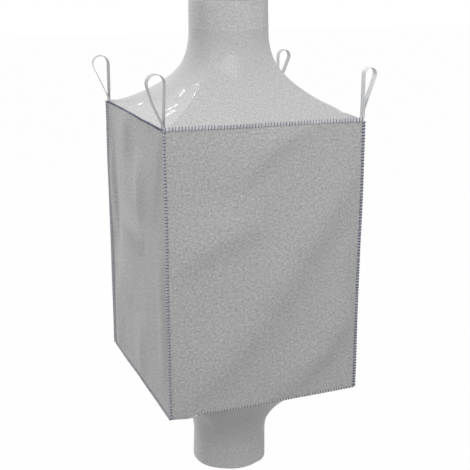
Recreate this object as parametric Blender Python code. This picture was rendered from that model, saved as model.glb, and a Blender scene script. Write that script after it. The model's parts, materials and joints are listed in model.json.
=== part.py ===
"""A bulk bag for loose goods: four woven side panels, a cone-shaped top with a filling spout,
a cone-shaped bottom with a discharge spout, stitched seams on every edge and four corner lifting loops.

Metres, +Z up. The bag hangs by its loops: the origin is the centre of the plane on which the inner faces
of the four loop crowns lie, so a hook or a fork at Z = 0 carries it. The front panel faces -Y.
"""

from math import asin, atan2, cos, pi, radians, sin, sqrt, tan

import bmesh
import bpy
from mathutils import Matrix, Vector

# Body
BODY_SIDE = 0.90  # square body, across the outer faces of opposite panels
BODY_HEIGHT = 1.26  # from the top edges to the bottom edges
FABRIC = 0.002  # cloth with the slack air in its weave
PANEL_BULGE = 0.012  # how far the middle of a side panel swells

# Cones and spouts
CONE_HEIGHT = 0.362  # from an edge plane to the neck
CONE_SPREAD = 1.4  # how soon the cone leaves the plane of its square edge
CONE_RISE = 2.2  # how late it turns upright into the neck
SPOUT_RADIUS = 0.175  # outside of both spout tubes
FILLING_LENGTH = 0.121  # free tube above the neck
DISCHARGE_LENGTH = 0.128  # free tube below the neck
SPOUT_LAP = 0.020  # tube inside the neck
SPOUT_HEM = 0.022  # doubled cloth at a rim
NECK_BAND = 0.012  # height of the sewn band round a neck
NECK_PLAY = 0.0008  # round a tube, so that it can be tucked in

# Seams
SEAM_WIDTH = 0.014  # how far a seam's fin stands out from its edge
SEAM_THICKNESS = 0.004  # folded edges of two cloths

# Lifting loops
LOOP_HEIGHT = 0.217  # from the top edges to the inner face of a crown
STRAP_WIDTH = 0.040
STRAP_THICKNESS = 0.003
CROWN_RADIUS = 0.035  # inside of the crown
CROWN_LEAN = 0.0305  # how far the crown's centre lies outboard of the loop's foot
STEM_HEIGHT = 0.037  # doubled strap between the fold and the split of the legs
FOLD_LIFT = 0.005  # room below a loop's foot, so that it can fold over the edge
STRAP_MARGIN = 0.008  # from the outer face of the front or back panel to the strap
TAIL_LENGTH = 0.250  # webbing sewn inside the corner

# Fits and fineness
CLEARANCE = 0.0004  # between pieces that touch
SEAM_STOP = 0.002  # between the ends of two seams, and between a seam's end and a strap
ROUND_STEPS = 48  # a multiple of 8, so that the cones have points on their corners
CONE_STEPS = 8
PANEL_COLUMNS = 8
PANEL_ROWS = 10
CROWN_STEP = radians(20)  # one flat of a crown; the middle flat is level
FOOT_STEPS = 6

# Worked out
HALF_SIDE = BODY_SIDE / 2
TOP_Z = -LOOP_HEIGHT
BOTTOM_Z = TOP_Z - BODY_HEIGHT
MITRE = (SEAM_THICKNESS / 2 + CLEARANCE) * sqrt(2)  # cloth stops this short of its virtual edge
NECK_BORE = SPOUT_RADIUS + NECK_PLAY
SEAM_ROOT = MITRE / sqrt(2) + FABRIC * sqrt(2)  # depth of a fin between the edges of two cloths
SEAM_REACH = (SEAM_ROOT + SEAM_THICKNESS / 2) / sqrt(2)  # how far a fin's root reaches in from a corner
SEAM_END = SEAM_REACH + SEAM_STOP
LOOP_X = HALF_SIDE - FABRIC - CLEARANCE - STRAP_THICKNESS
LOOP_Y = HALF_SIDE - STRAP_MARGIN - STRAP_WIDTH / 2
FOLD_Z = TOP_Z + STRAP_THICKNESS + FOLD_LIFT

CLOTH_GREY = (0.40, 0.40, 0.41, 1.0)
COATED_WHITE = (0.62, 0.63, 0.64, 1.0)
SPOUT_GREY = (0.45, 0.45, 0.46, 1.0)
WEBBING_WHITE = (0.60, 0.61, 0.62, 1.0)
SEAM_BLUE = (0.12, 0.15, 0.30, 1.0)


def clear_scene():
    for old in list(bpy.data.objects):
        bpy.data.objects.remove(old, do_unlink=True)


def material(name, colour, roughness):
    made = bpy.data.materials.new(name)
    made.use_nodes = True
    shader = made.node_tree.nodes["Principled BSDF"]
    shader.inputs["Base Color"].default_value = colour
    shader.inputs["Roughness"].default_value = roughness
    shader.inputs["Metallic"].default_value = 0.0
    made.diffuse_color = colour
    return made


def add_object(name, mesh, finish, location=(0, 0, 0), turn=None):
    mesh.materials.append(finish)
    made = bpy.data.objects.new(name, mesh)
    made.location = location
    if turn is not None:
        made.rotation_euler = turn.to_euler()
    bpy.context.scene.collection.objects.link(made)
    return made


def mesh_from(name, form):
    """Close a bmesh off into a mesh whose faces point out."""
    bmesh.ops.recalc_face_normals(form, faces=form.faces[:])
    mesh = bpy.data.meshes.new(name)
    form.to_mesh(mesh)
    form.free()
    return mesh


def join_rows(form, low, high, ring):
    """Faces between two rows of vertices, which close on themselves if ring is true."""
    count = len(low)
    for i in range(count if ring else count - 1):
        j = (i + 1) % count
        form.faces.new((low[i], low[j], high[j], high[i]))


def skin(form, rows, ring):
    """Faces over rows of points. Returns the rows of vertices."""
    verts = [[form.verts.new(point) for point in row] for row in rows]
    for low, high in zip(verts, verts[1:]):
        join_rows(form, low, high, ring)
    return verts


# Side panels

def panel_rows(inset, depth):
    """One face of a side panel that looks along -Y: inset trims its edges, depth sets it back."""
    half_width = HALF_SIDE - MITRE - inset
    half_height = BODY_HEIGHT / 2 - MITRE - inset
    rows = []
    for j in range(PANEL_ROWS + 1):
        v = 2 * j / PANEL_ROWS - 1
        row = []
        for i in range(PANEL_COLUMNS + 1):
            u = 2 * i / PANEL_COLUMNS - 1
            swell = PANEL_BULGE * cos(u * pi / 2) * cos(v * pi / 2)
            row.append((half_width * u, depth - HALF_SIDE - swell, half_height * v))
        rows.append(row)
    return rows


def border(verts):
    """The vertices round the edge of a sheet, in order."""
    right = [row[-1] for row in verts[1:-1]]
    left = [row[0] for row in verts[-2:0:-1]]
    return verts[0] + right + verts[-1][::-1] + left


def panel_mesh():
    """A swelling sheet with mitred edges, built round the middle of the body."""
    form = bmesh.new()
    outer = skin(form, panel_rows(0, 0), ring=False)
    inner = skin(form, panel_rows(FABRIC, FABRIC), ring=False)
    join_rows(form, border(outer), border(inner), ring=True)
    return mesh_from("side_panel", form)


def add_panels(finish):
    middle = (0, 0, (TOP_Z + BOTTOM_Z) / 2)
    for name, quarter in (("front_panel", 0), ("right_panel", 1), ("back_panel", 2), ("left_panel", 3)):
        add_object(name, panel_mesh(), finish, middle, Matrix.Rotation(quarter * pi / 2, 3, "Z"))


# Cones, from a square edge to a round neck

def square_point(angle, half):
    """The point of a square, of the given half side, that lies at an angle from its centre."""
    reach = half / max(abs(cos(angle)), abs(sin(angle)))
    return Vector((reach * cos(angle), reach * sin(angle)))


def cone_rows(inset):
    """Rings from the square edge, at height 0, to the neck: inset moves the skin inward."""
    half = HALF_SIDE - MITRE - inset
    neck = NECK_BORE + FABRIC - inset
    rows = []
    for k in range(CONE_STEPS + 1):
        sweep = k / CONE_STEPS * pi / 2
        along = sin(sweep) ** (2 / CONE_SPREAD)
        below = max(cos(sweep), 0.0) ** (2 / CONE_RISE)
        height = CONE_HEIGHT * (1 - below) - inset * below
        row = []
        for i in range(ROUND_STEPS):
            angle = 2 * pi * i / ROUND_STEPS
            edge = square_point(angle, half)
            ring = neck * Vector((cos(angle), sin(angle)))
            flat = edge.lerp(ring, along)
            row.append((flat.x, flat.y, height))
        rows.append(row)
    return rows


def cone_mesh(name):
    form = bmesh.new()
    outer = skin(form, cone_rows(0), ring=True)
    inner = skin(form, cone_rows(FABRIC), ring=True)
    for end in (0, -1):
        join_rows(form, outer[end], inner[end], ring=True)
    return mesh_from(name, form)


def turned(name, profile, finish, height, turn):
    """A ring or tube spun round Z from its profile, given as radius and height down its outer side."""
    form = bmesh.new()
    verts = [form.verts.new((radius, 0, z)) for radius, z in profile]
    for i, vert in enumerate(verts):
        form.edges.new((vert, verts[(i + 1) % len(verts)]))
    mesh = bpy.data.meshes.new(name)
    form.to_mesh(mesh)
    form.free()
    made = add_object(name, mesh, finish, (0, 0, height), turn)
    spin = made.modifiers.new("spin", "SCREW")
    spin.steps = ROUND_STEPS
    spin.render_steps = ROUND_STEPS
    spin.use_merge_vertices = True
    spin.merge_threshold = 0.00001
    return made


def spout_profile(length):
    """A tube with its cloth doubled inward at the rim. Height 0 is the end of the neck."""
    outside = SPOUT_RADIUS
    inside = outside - FABRIC
    hem = inside - FABRIC
    return (
        (outside, length), (outside, -SPOUT_LAP), (inside, -SPOUT_LAP),
        (inside, length - SPOUT_HEM), (hem, length - SPOUT_HEM), (hem, length),
    )


def band_profile():
    """The band of folded, sewn cloth at the end of a neck."""
    low = CLEARANCE
    high = CLEARANCE + NECK_BAND
    outside = NECK_BORE + FABRIC
    return (outside, high), (outside, low), (NECK_BORE, low), (NECK_BORE, high)


def add_end(cone, spout, band, length, edge_z, turn, finishes):
    """A cone with its spout and neck seam, pointing up, or down if turned over."""
    coated, tube_cloth, thread = finishes
    neck_z = edge_z + (turn @ Vector((0, 0, CONE_HEIGHT))).z
    add_object(cone, cone_mesh(cone), coated, (0, 0, edge_z), turn)
    turned(spout, spout_profile(length), tube_cloth, neck_z, turn)
    turned(band, band_profile(), thread, neck_z, turn)


# Seams, each a fin that stands out between the edges of two cloths

def bar_mesh(name, lows, highs):
    """A straight bar between two corners."""
    form = bmesh.new()
    bmesh.ops.create_cube(form, size=1)
    size = [high - low for low, high in zip(lows, highs)]
    middle = [(high + low) / 2 for low, high in zip(lows, highs)]
    bmesh.ops.scale(form, vec=size, verts=form.verts[:])
    bmesh.ops.translate(form, vec=middle, verts=form.verts[:])
    return mesh_from(name, form)


def add_seam(name, middle, outward, along, length, finish):
    """A fin along an edge of the body: outward points away from the edge, along runs with it."""
    x_axis = Vector(outward).normalized()
    z_axis = Vector(along)
    turn = Matrix((x_axis, z_axis.cross(x_axis), z_axis)).transposed()
    lows = (-SEAM_ROOT, -SEAM_THICKNESS / 2, -length / 2)
    highs = (SEAM_WIDTH, SEAM_THICKNESS / 2, length / 2)
    add_object(name, bar_mesh(name, lows, highs), finish, middle, turn)


def add_seams(finish):
    middle_z = (TOP_Z + BOTTOM_Z) / 2
    for depth, dy in (("front", -1), ("back", 1)):
        for side, dx in (("left", -1), ("right", 1)):
            corner = (dx * HALF_SIDE, dy * HALF_SIDE, middle_z)
            length = BODY_HEIGHT - 2 * SEAM_END
            add_seam(f"corner_seam_{depth}_{side}", corner, (dx, dy, 0), (0, 0, 1), length, finish)
    full = BODY_SIDE - 2 * SEAM_END
    between_straps = 2 * (LOOP_Y - STRAP_WIDTH / 2 - SEAM_STOP)
    for level, z, rise in (("top", TOP_Z, 1), ("bottom", BOTTOM_Z, -1)):
        for side, dx, dy in (("front", 0, -1), ("back", 0, 1), ("left", -1, 0), ("right", 1, 0)):
            middle = (dx * HALF_SIDE, dy * HALF_SIDE, z)
            along = (abs(dy), abs(dx), 0)
            strapped = level == "top" and dx != 0
            add_seam(f"{level}_seam_{side}", middle, (dx, dy, rise), along,
                     between_straps if strapped else full, finish)


# Lifting loops, drawn in the plane across the fold: x points outboard, y up, the fold at the origin

def tangent_side(throat, centre, side):
    """How far a leg leans from upright, to touch the crown's inside: side is 1 outboard, -1 inboard."""
    reach = centre - throat
    return atan2(reach.x, reach.y) + side * asin(CROWN_RADIUS / reach.length)


def crown_arc(centre, radius, start, stop):
    """Points over the crown from the outboard leg to the inboard one, with a level flat at the top."""
    angles = [start, stop]
    step = CROWN_STEP / 2
    for side in (1, -1):
        angle = pi / 2 - side * step
        while start + step < angle < stop - step:
            angles.append(angle)
            angle -= side * CROWN_STEP
    return [centre + radius * Vector((cos(angle), sin(angle))) for angle in sorted(angles)]


def loop_outlines():
    """The strap seen from its edge: the outline round it, and the outline of its opening."""
    thick = STRAP_THICKNESS
    throat = Vector((0, STEM_HEIGHT))
    crown_drop = CROWN_RADIUS * cos(CROWN_STEP / 2)
    centre = Vector((CROWN_LEAN, LOOP_HEIGHT - STRAP_THICKNESS - FOLD_LIFT - crown_drop))
    outboard = tangent_side(throat, centre, 1)
    inboard = tangent_side(throat, centre, -1)
    start = -outboard
    stop = pi - inboard
    opening = [throat] + crown_arc(centre, CROWN_RADIUS, start, stop)
    over = crown_arc(centre, CROWN_RADIUS + thick, start, stop)
    turns = [pi + pi * i / FOOT_STEPS for i in range(FOOT_STEPS + 1)]
    foot = [thick * Vector((cos(turn), sin(turn))) for turn in turns]
    splits = []
    for side, lean in ((1, outboard), (-1, inboard)):
        # where a leg's outer face meets the side of the stem
        splits.append(Vector((side * thick, STEM_HEIGHT - side * thick * tan(lean / 2))))
    return foot + [splits[0]] + over + [splits[1]], opening


def loop_mesh(name):
    form = bmesh.new()
    edges = []
    for outline in loop_outlines():
        verts = [form.verts.new((point.x, -STRAP_WIDTH / 2, point.y)) for point in outline]
        edges += [form.edges.new((vert, verts[(i + 1) % len(verts)])) for i, vert in enumerate(verts)]
    filled = bmesh.ops.triangle_fill(form, use_beauty=True, edges=edges)
    faces = [item for item in filled["geom"] if isinstance(item, bmesh.types.BMFace)]
    raised = bmesh.ops.extrude_face_region(form, geom=faces, use_keep_orig=True)
    moved = [item for item in raised["geom"] if isinstance(item, bmesh.types.BMVert)]
    bmesh.ops.translate(form, vec=(0, STRAP_WIDTH, 0), verts=moved)
    return mesh_from(name, form)


def add_loops(finish):
    half_wide = STRAP_WIDTH / 2
    for depth, dy in (("front", -1), ("back", 1)):
        for side, dx in (("left", -1), ("right", 1)):
            turn = Matrix.Rotation(0 if dx > 0 else pi, 3, "Z")
            loop = f"lifting_loop_{depth}_{side}"
            add_object(loop, loop_mesh(loop), finish, (dx * LOOP_X, dy * LOOP_Y, FOLD_Z), turn)
            tail = f"loop_tail_{depth}_{side}"
            lows = (-STRAP_THICKNESS, -half_wide, -TAIL_LENGTH)
            highs = (STRAP_THICKNESS, half_wide, 0)
            top = TOP_Z - FABRIC - SEAM_REACH
            add_object(tail, bar_mesh(tail, lows, highs), finish, (dx * LOOP_X, dy * LOOP_Y, top), turn)


def main():
    clear_scene()
    panel_cloth = material("panel_cloth", CLOTH_GREY, 0.75)
    coated_cloth = material("coated_cloth", COATED_WHITE, 0.45)
    spout_cloth = material("spout_cloth", SPOUT_GREY, 0.60)
    webbing = material("webbing", WEBBING_WHITE, 0.70)
    seam_thread = material("seam_thread", SEAM_BLUE, 0.80)
    add_panels(panel_cloth)
    ends = (coated_cloth, spout_cloth, seam_thread)
    upright = Matrix.Identity(3)
    turned_over = Matrix.Rotation(pi, 3, "X")
    add_end("top_cone", "filling_spout", "filling_neck_seam",
            FILLING_LENGTH, TOP_Z, upright, ends)
    add_end("bottom_cone", "discharge_spout", "discharge_neck_seam",
            DISCHARGE_LENGTH, BOTTOM_Z, turned_over, ends)
    add_seams(seam_thread)
    add_loops(webbing)


main()
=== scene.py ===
# %% [markdown]
# A bulk bag is a big square sack of woven plastic tape, filled through a spout at the top and emptied
# through one at the bottom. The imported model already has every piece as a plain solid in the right
# place. A model made afresh could drift away from those sizes and joints, so this script dresses the
# solids instead, with thin cloth, sewn edges, thread and webbing.

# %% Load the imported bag
import json
from math import asin, atan2, cos, pi, radians, sin
from random import Random

import bpy
import numpy as np
from mathutils import Euler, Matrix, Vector


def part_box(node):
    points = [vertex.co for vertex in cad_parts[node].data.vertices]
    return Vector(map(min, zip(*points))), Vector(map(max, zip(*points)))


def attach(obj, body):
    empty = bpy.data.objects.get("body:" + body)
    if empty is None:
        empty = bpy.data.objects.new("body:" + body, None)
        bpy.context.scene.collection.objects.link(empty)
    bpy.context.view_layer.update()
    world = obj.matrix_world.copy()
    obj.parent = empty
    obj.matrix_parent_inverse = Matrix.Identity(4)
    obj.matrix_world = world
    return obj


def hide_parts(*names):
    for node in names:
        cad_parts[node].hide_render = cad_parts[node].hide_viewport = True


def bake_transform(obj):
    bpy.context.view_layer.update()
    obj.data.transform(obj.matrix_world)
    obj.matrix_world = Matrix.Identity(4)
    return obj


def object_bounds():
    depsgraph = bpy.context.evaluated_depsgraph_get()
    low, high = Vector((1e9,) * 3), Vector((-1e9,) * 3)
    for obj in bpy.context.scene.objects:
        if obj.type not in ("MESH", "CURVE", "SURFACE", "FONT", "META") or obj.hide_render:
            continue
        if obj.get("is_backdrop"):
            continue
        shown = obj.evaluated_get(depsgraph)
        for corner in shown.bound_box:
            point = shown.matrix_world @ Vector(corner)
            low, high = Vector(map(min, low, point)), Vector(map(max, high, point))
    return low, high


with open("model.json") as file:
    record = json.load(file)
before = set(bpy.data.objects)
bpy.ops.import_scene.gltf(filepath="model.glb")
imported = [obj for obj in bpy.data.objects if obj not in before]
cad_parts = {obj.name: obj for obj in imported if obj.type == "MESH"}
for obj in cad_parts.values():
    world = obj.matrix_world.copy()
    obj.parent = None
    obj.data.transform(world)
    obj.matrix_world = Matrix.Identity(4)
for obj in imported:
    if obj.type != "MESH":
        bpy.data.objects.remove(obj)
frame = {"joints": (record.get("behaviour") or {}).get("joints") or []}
cad_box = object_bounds()

# %% [markdown]
# The main sizes are measured from the solids, in metres, so the cloth lands where they are. Sizes typed
# in by hand would go stale as soon as a solid changed. The body is a square box of cloth, and its edges
# lie a little outside the panels, because the solids leave room for a seam.

# %% Measure the solids
SEAM_GAP = 0.0034
RIM_STAND = 0.004
panel_low, panel_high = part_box("front_panel")
cone_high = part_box("top_cone")[1]
spout_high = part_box("filling_spout")[1]
HALF = cone_high.x + SEAM_GAP
TOP = panel_high.z + SEAM_GAP
BOTTOM = panel_low.z - SEAM_GAP
HEIGHT = TOP - BOTTOM
NECK_TOP = cone_high.z
NECK_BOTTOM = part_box("bottom_cone")[0].z
RIM_TOP = spout_high.z + RIM_STAND
RIM_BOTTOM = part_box("discharge_spout")[0].z
SPOUT_RADIUS = spout_high.x
NECK_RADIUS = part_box("filling_neck_seam")[1].x
print(f"body {2 * HALF:.3f} m square and {HEIGHT:.3f} m high, spouts {2 * SPOUT_RADIUS:.3f} m across")

# %% [markdown]
# The camera stands in front and a little to the left, and looks down at the bag. A short lens close by
# would make the upright edges lean together. This one is long and stands well back, which keeps them
# nearly parallel. Its place was found by matching corners of the body in the picture.

# %% Camera
CAMERA_PLACE = (-1.538, -3.950, 0.466)
LOOK_DOWN = 16.83
LOOK_RIGHT = 21.67
LENS = 71.53
SENSOR = 36

lens = bpy.data.cameras.new("camera")
lens.lens = LENS
lens.sensor_width = SENSOR
camera = bpy.data.objects.new("camera", lens)
camera.location = CAMERA_PLACE
camera.rotation_euler = Euler((radians(90 - LOOK_DOWN), 0, radians(-LOOK_RIGHT)))
bpy.context.scene.collection.objects.link(camera)
bpy.context.scene.camera = camera
bpy.context.scene.view_settings.view_transform = "Standard"
print("camera", LENS, "mm, looking", LOOK_DOWN, "degrees down")

# %% [markdown]
# A finish is a small network of shader nodes. Nodes can be laid out by hand in the editor, but a script
# that does so one link at a time is hard to follow. This helper adds one node and fills its inputs, each
# from a plain value or from another node's output, so that a finish reads like a list of steps.

# %% Helpers for shader nodes
def add_node(tree, kind, inputs=(), **settings):
    """A new node with its settings, and its inputs filled with values or joined to other outputs."""
    made = tree.nodes.new(kind)
    for name, value in settings.items():
        setattr(made, name, value)
    for key, value in dict(inputs).items():
        if isinstance(value, bpy.types.NodeSocket):
            tree.links.new(value, made.inputs[key])
        else:
            made.inputs[key].default_value = value
    return made


def calc(tree, operation, *values):
    """One step of arithmetic."""
    return add_node(tree, "ShaderNodeMath", dict(enumerate(values)), operation=operation).outputs[0]


def new_finish(name):
    """An empty node material. Returns it with its tree and its main shader."""
    made = bpy.data.materials.new(name)
    made.use_nodes = True
    return made, made.node_tree, made.node_tree.nodes["Principled BSDF"]


def grey(shade):
    return (shade, shade, shade, 1)


print("node helpers ready")

# %% [markdown]
# The floor is a plain pale sheet under the hanging bag. Stronger lamps could turn it white, but they
# would bleach the bag as well. Its shader is mixed with plain white instead, only for rays that look at
# it straight, in a mirror or through glass. The mix keeps a little of its own shade, and so the shadow.

# %% Floor
FLOOR_DROP = 0.45
FLOOR_SIZE = 60.0
FLOOR_SHADE = 0.41
FLOOR_ROUGHNESS = 0.9
FLOOR_WHITENESS = 0.98


def seen_directly(tree):
    """1 for rays that look at the background straight, in a mirror or through glass."""
    path = add_node(tree, "ShaderNodeLightPath")
    mirror = calc(tree, "MAXIMUM", path.outputs["Is Glossy Ray"], path.outputs["Is Transmission Ray"])
    return calc(tree, "MAXIMUM", path.outputs["Is Camera Ray"], mirror)


def floor_finish():
    made, tree, shader = new_finish("pale_floor")
    shader.inputs["Base Color"].default_value = grey(FLOOR_SHADE)
    shader.inputs["Roughness"].default_value = FLOOR_ROUGHNESS
    white = add_node(tree, "ShaderNodeEmission", {"Color": grey(1), "Strength": 1.0})
    share = calc(tree, "MULTIPLY", seen_directly(tree), FLOOR_WHITENESS)
    mixed = add_node(tree, "ShaderNodeMixShader", {0: share, 1: shader.outputs[0], 2: white.outputs[0]})
    tree.links.new(mixed.outputs[0], tree.nodes["Material Output"].inputs["Surface"])
    return made


bpy.ops.mesh.primitive_grid_add(size=FLOOR_SIZE, location=(0, 0, RIM_BOTTOM - FLOOR_DROP))
floor = bpy.context.object
floor.name = "floor"
floor.data.materials.append(floor_finish())
floor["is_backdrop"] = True
print("floor at", round(floor.location.z, 3), "m")

# %% [markdown]
# The room is a soft sky that lights the bag from all round, a little more from overhead. A photograph of
# a studio could do the same, but a ramp of greys by height is enough for a plain room and needs no file.
# Rays that see the sky directly get plain white, as on the floor, so the background is clean.

# %% Sky
SKY_SHADES = ((0.0, 0.59), (0.6, 0.59), (0.75, 0.75), (1.0, 0.75))


def sky_shade(tree):
    """A grey for each direction, by how far it points up."""
    direction = add_node(tree, "ShaderNodeTexCoord").outputs["Generated"]
    upward = add_node(tree, "ShaderNodeSeparateXYZ", {0: direction}).outputs["Z"]
    height_share = calc(tree, "MULTIPLY_ADD", upward, 0.5, 0.5)
    ramp = add_node(tree, "ShaderNodeValToRGB", {0: height_share})
    for place, shade in SKY_SHADES[1:-1]:
        ramp.color_ramp.elements.new(place)
    for stop, (place, shade) in zip(ramp.color_ramp.elements, SKY_SHADES):
        stop.position = place
        stop.color = grey(shade)
    return ramp.outputs[0]


world = bpy.data.worlds.new("studio")
bpy.context.scene.world = world
world.use_nodes = True
sky = world.node_tree
sky.nodes.clear()
glow = add_node(sky, "ShaderNodeBackground", {"Color": sky_shade(sky), "Strength": 1.0})
plain = add_node(sky, "ShaderNodeBackground", {"Color": grey(1), "Strength": 1.0})
sight_inputs = {0: seen_directly(sky), 1: glow.outputs[0], 2: plain.outputs[0]}
sight = add_node(sky, "ShaderNodeMixShader", sight_inputs)
add_node(sky, "ShaderNodeOutputWorld", {"Surface": sight.outputs[0]})
print("sky shades:", [shade for place, shade in SKY_SHADES])

# %% [markdown]
# Three soft boxes do the rest. A large one above the front lights the front panel and the top. One far
# behind on the left grazes the left panel, because folds show best in light that skims over them. A long
# narrow one, high behind the bag, is there for its mirror image: the coated top shows it as a few bright
# glints. Spots would do this with hard shadows, which a studio avoids.

# %% Soft boxes
def soft_box(name, place, aim, size, power):
    lamp = bpy.data.lights.new(name, "AREA")
    lamp.shape = "RECTANGLE"
    lamp.size, lamp.size_y = size
    lamp.energy = power
    made = bpy.data.objects.new(name, lamp)
    made.location = place
    made.rotation_euler = (Vector(aim) - Vector(place)).to_track_quat("-Z", "Y").to_euler()
    bpy.context.scene.collection.objects.link(made)
    return made


soft_box("key_box", place=(-0.4, -4.0, 3.0), aim=(0, 0, -0.8), size=(2.6, 2.6), power=122)
left_box = soft_box("left_box", place=(-3.4, 7.0, 0.9), aim=(-0.3, 0, -0.8), size=(2.4, 2.4), power=385)
left_box.visible_glossy = False
soft_box("glint_box", place=(-1.83, 5.74, 4.97), aim=(-0.345, -0.21, -0.17), size=(1.68, 0.45), power=136)

# %% [markdown]
# Woven tape cloth is flat plastic tapes, about 3 mm wide, going over and under each other. Modelling
# every tape would take millions of faces, so the finish draws them, from two sine waves over the cloth's
# own flat coordinates. Their product has one crown for each crossing, and its sign says which tape is on
# top. Each tape has its own shade, and soft clouds add the blotches that this cloth shows from a distance.

# %% Woven tape pattern
TAPE = 0.0030
CROWN_SHAPE = 0.6
MOTTLE = 0.0095
PATCH = 0.024
PATCH_SHARE = 0.2
BLOTCH_CONTRAST, BLOTCH_BASE = 2.3, -0.88


def flat_cloth(tree):
    """The cloth's own flat coordinates, whole and as their two parts."""
    flat = add_node(tree, "ShaderNodeUVMap", uv_map="cloth").outputs[0]
    split = add_node(tree, "ShaderNodeSeparateXYZ", {0: flat})
    return flat, split.outputs["X"], split.outputs["Y"]


def clouds(tree, flat, scale, detail):
    inputs = {"Vector": flat, "Scale": scale, "Detail": detail}
    return add_node(tree, "ShaderNodeTexNoise", inputs).outputs[0]


def tape_shade(tree, place):
    """A random shade for each tape, from its number."""
    number = calc(tree, "FLOOR", place)
    return add_node(tree, "ShaderNodeTexWhiteNoise", {"W": number}, noise_dimensions="1D").outputs["Value"]


def woven_pattern(tree):
    """Height of the weave, a shade for each tape, and blotches."""
    flat, x, y = flat_cloth(tree)
    across, along = calc(tree, "DIVIDE", x, TAPE), calc(tree, "DIVIDE", y, TAPE)
    wave_across = calc(tree, "SINE", calc(tree, "MULTIPLY", across, pi))
    wave_along = calc(tree, "SINE", calc(tree, "MULTIPLY", along, pi))
    crossing = calc(tree, "MULTIPLY", wave_across, wave_along)
    crown = calc(tree, "POWER", calc(tree, "ABSOLUTE", crossing), CROWN_SHAPE)
    upright_on_top = calc(tree, "GREATER_THAN", crossing, 0.0)
    upright = calc(tree, "MULTIPLY", tape_shade(tree, across), upright_on_top)
    level = calc(tree, "MULTIPLY", tape_shade(tree, along), calc(tree, "SUBTRACT", 1.0, upright_on_top))
    shade = calc(tree, "ADD", upright, level)
    fine, broad = clouds(tree, flat, 1 / MOTTLE, 1.0), clouds(tree, flat, 1 / PATCH, 1.0)
    cloud = calc(tree, "MULTIPLY_ADD", broad, PATCH_SHARE, fine)
    blotch = calc(tree, "MULTIPLY_ADD", cloud, BLOTCH_CONTRAST, BLOTCH_BASE)
    return crown, shade, blotch


print("tapes", TAPE * 1000, "mm wide, blotches", MOTTLE * 1000, "and", PATCH * 1000, "mm")

# %% [markdown]
# The same weave serves all the cloth of the bag, in five shades. The panels are plain and dull. The top
# and bottom are coated, which adds a thin glossy skin. The spouts are lighter. The upright sewn edges are
# painted lighter and a little bluish, and those along the top the palest, which is painted light on the
# fins. One function with a few settings makes them all, so that they stay a family.

# %% Cloth finishes
TAPE_STREAK = 0.05
BLOTCH_RELIEF = 0.7
WEAVE_DEPTH = 0.0006
GLOSS_RANGE = 0.12
COAT_ROUGHNESS = 0.10


def tint_shader(tree, shader, colour, light):
    """Colour the shader, lighter and darker by light."""
    tint = add_node(tree, "ShaderNodeVectorMath", {0: colour, 3: light}, operation="SCALE")
    tree.links.new(tint.outputs[0], shader.inputs["Base Color"])


def emboss_shader(tree, shader, height, strength, depth):
    bump = add_node(tree, "ShaderNodeBump", {"Height": height, "Strength": strength, "Distance": depth})
    tree.links.new(bump.outputs[0], shader.inputs["Normal"])


def cloth_finish(name, colour, rough, shine=0.2, coat=0.0, mottle=0.30, relief=0.35):
    """Woven cloth: mottle is how far its blotches vary in colour, relief how much its weave stands out."""
    made, tree, shader = new_finish(name)
    crown, shade, blotch = woven_pattern(tree)
    tone = calc(tree, "MULTIPLY_ADD", shade, TAPE_STREAK, 1 - TAPE_STREAK / 2)
    spots = calc(tree, "MULTIPLY_ADD", blotch, mottle, 1 - mottle / 2)
    tint_shader(tree, shader, colour, calc(tree, "MULTIPLY", tone, spots))
    height = calc(tree, "MULTIPLY_ADD", blotch, BLOTCH_RELIEF, crown)
    emboss_shader(tree, shader, height, relief, WEAVE_DEPTH)
    gloss = calc(tree, "MULTIPLY_ADD", shade, GLOSS_RANGE, rough - GLOSS_RANGE / 2)
    tree.links.new(gloss, shader.inputs["Roughness"])
    shader.inputs["Specular IOR Level"].default_value = shine
    shader.inputs["Coat Weight"].default_value = coat
    shader.inputs["Coat Roughness"].default_value = COAT_ROUGHNESS
    return made


PANEL_CLOTH = cloth_finish("panel_cloth", (0.433, 0.433, 0.437), 0.75, shine=0.0, mottle=0.36)
COATED_CLOTH = cloth_finish("coated_cloth", (0.476, 0.476, 0.480), 0.60,
                            shine=0.1, coat=0.22, mottle=0.36, relief=0.25)
SPOUT_CLOTH = cloth_finish("spout_cloth", (0.500, 0.500, 0.504), 0.60, shine=0.1, mottle=0.27, relief=0.25)
# The two edge cloths are the panel cloth painted lighter for the fins: painted light, with a faint blue.
PAINTED_LIGHT_EDGE = cloth_finish("painted_light_edge", (0.50, 0.51, 0.535), 0.7)
PAINTED_LIGHT_TOP_EDGE = cloth_finish("painted_light_top_edge", (0.57, 0.575, 0.59), 0.7)
print("cloth:", [m.name for m in (PANEL_CLOTH, COATED_CLOTH, SPOUT_CLOTH, PAINTED_LIGHT_EDGE, PAINTED_LIGHT_TOP_EDGE)])

# %% [markdown]
# Cloth here is a grid of points, row by row, with its flat size kept beside it as a texture map in
# metres, so the weave keeps its scale however the cloth hangs. An unwrap after modelling would stretch
# it. Solidify gives the sheet a thickness, and weighted normals keep the narrow rim from tinting the
# wide faces beside it.

# %% Sheets of cloth
CLOTH_THICKNESS = 0.0012


def grid_faces(rows, columns, ring):
    """Corner numbers of each face between rows of points, closing on themselves if ring is true."""
    r, c = np.mgrid[0:rows - 1, 0:columns if ring else columns - 1]
    after = (c + 1) % columns
    low, high = r * columns, (r + 1) * columns
    return r, c, np.stack([low + c, low + after, high + after, high + c], -1).reshape(-1, 4)


def mesh_from(name, points, faces, corners):
    """A smooth mesh with the flat place of each face corner in its cloth map."""
    mesh = bpy.data.meshes.new(name)
    mesh.from_pydata(points.reshape(-1, 3).tolist(), [], faces)
    layer = mesh.uv_layers.new(name="cloth")
    layer.data.foreach_set("uv", corners.ravel().astype("f"))
    mesh.shade_smooth()
    return mesh


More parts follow.
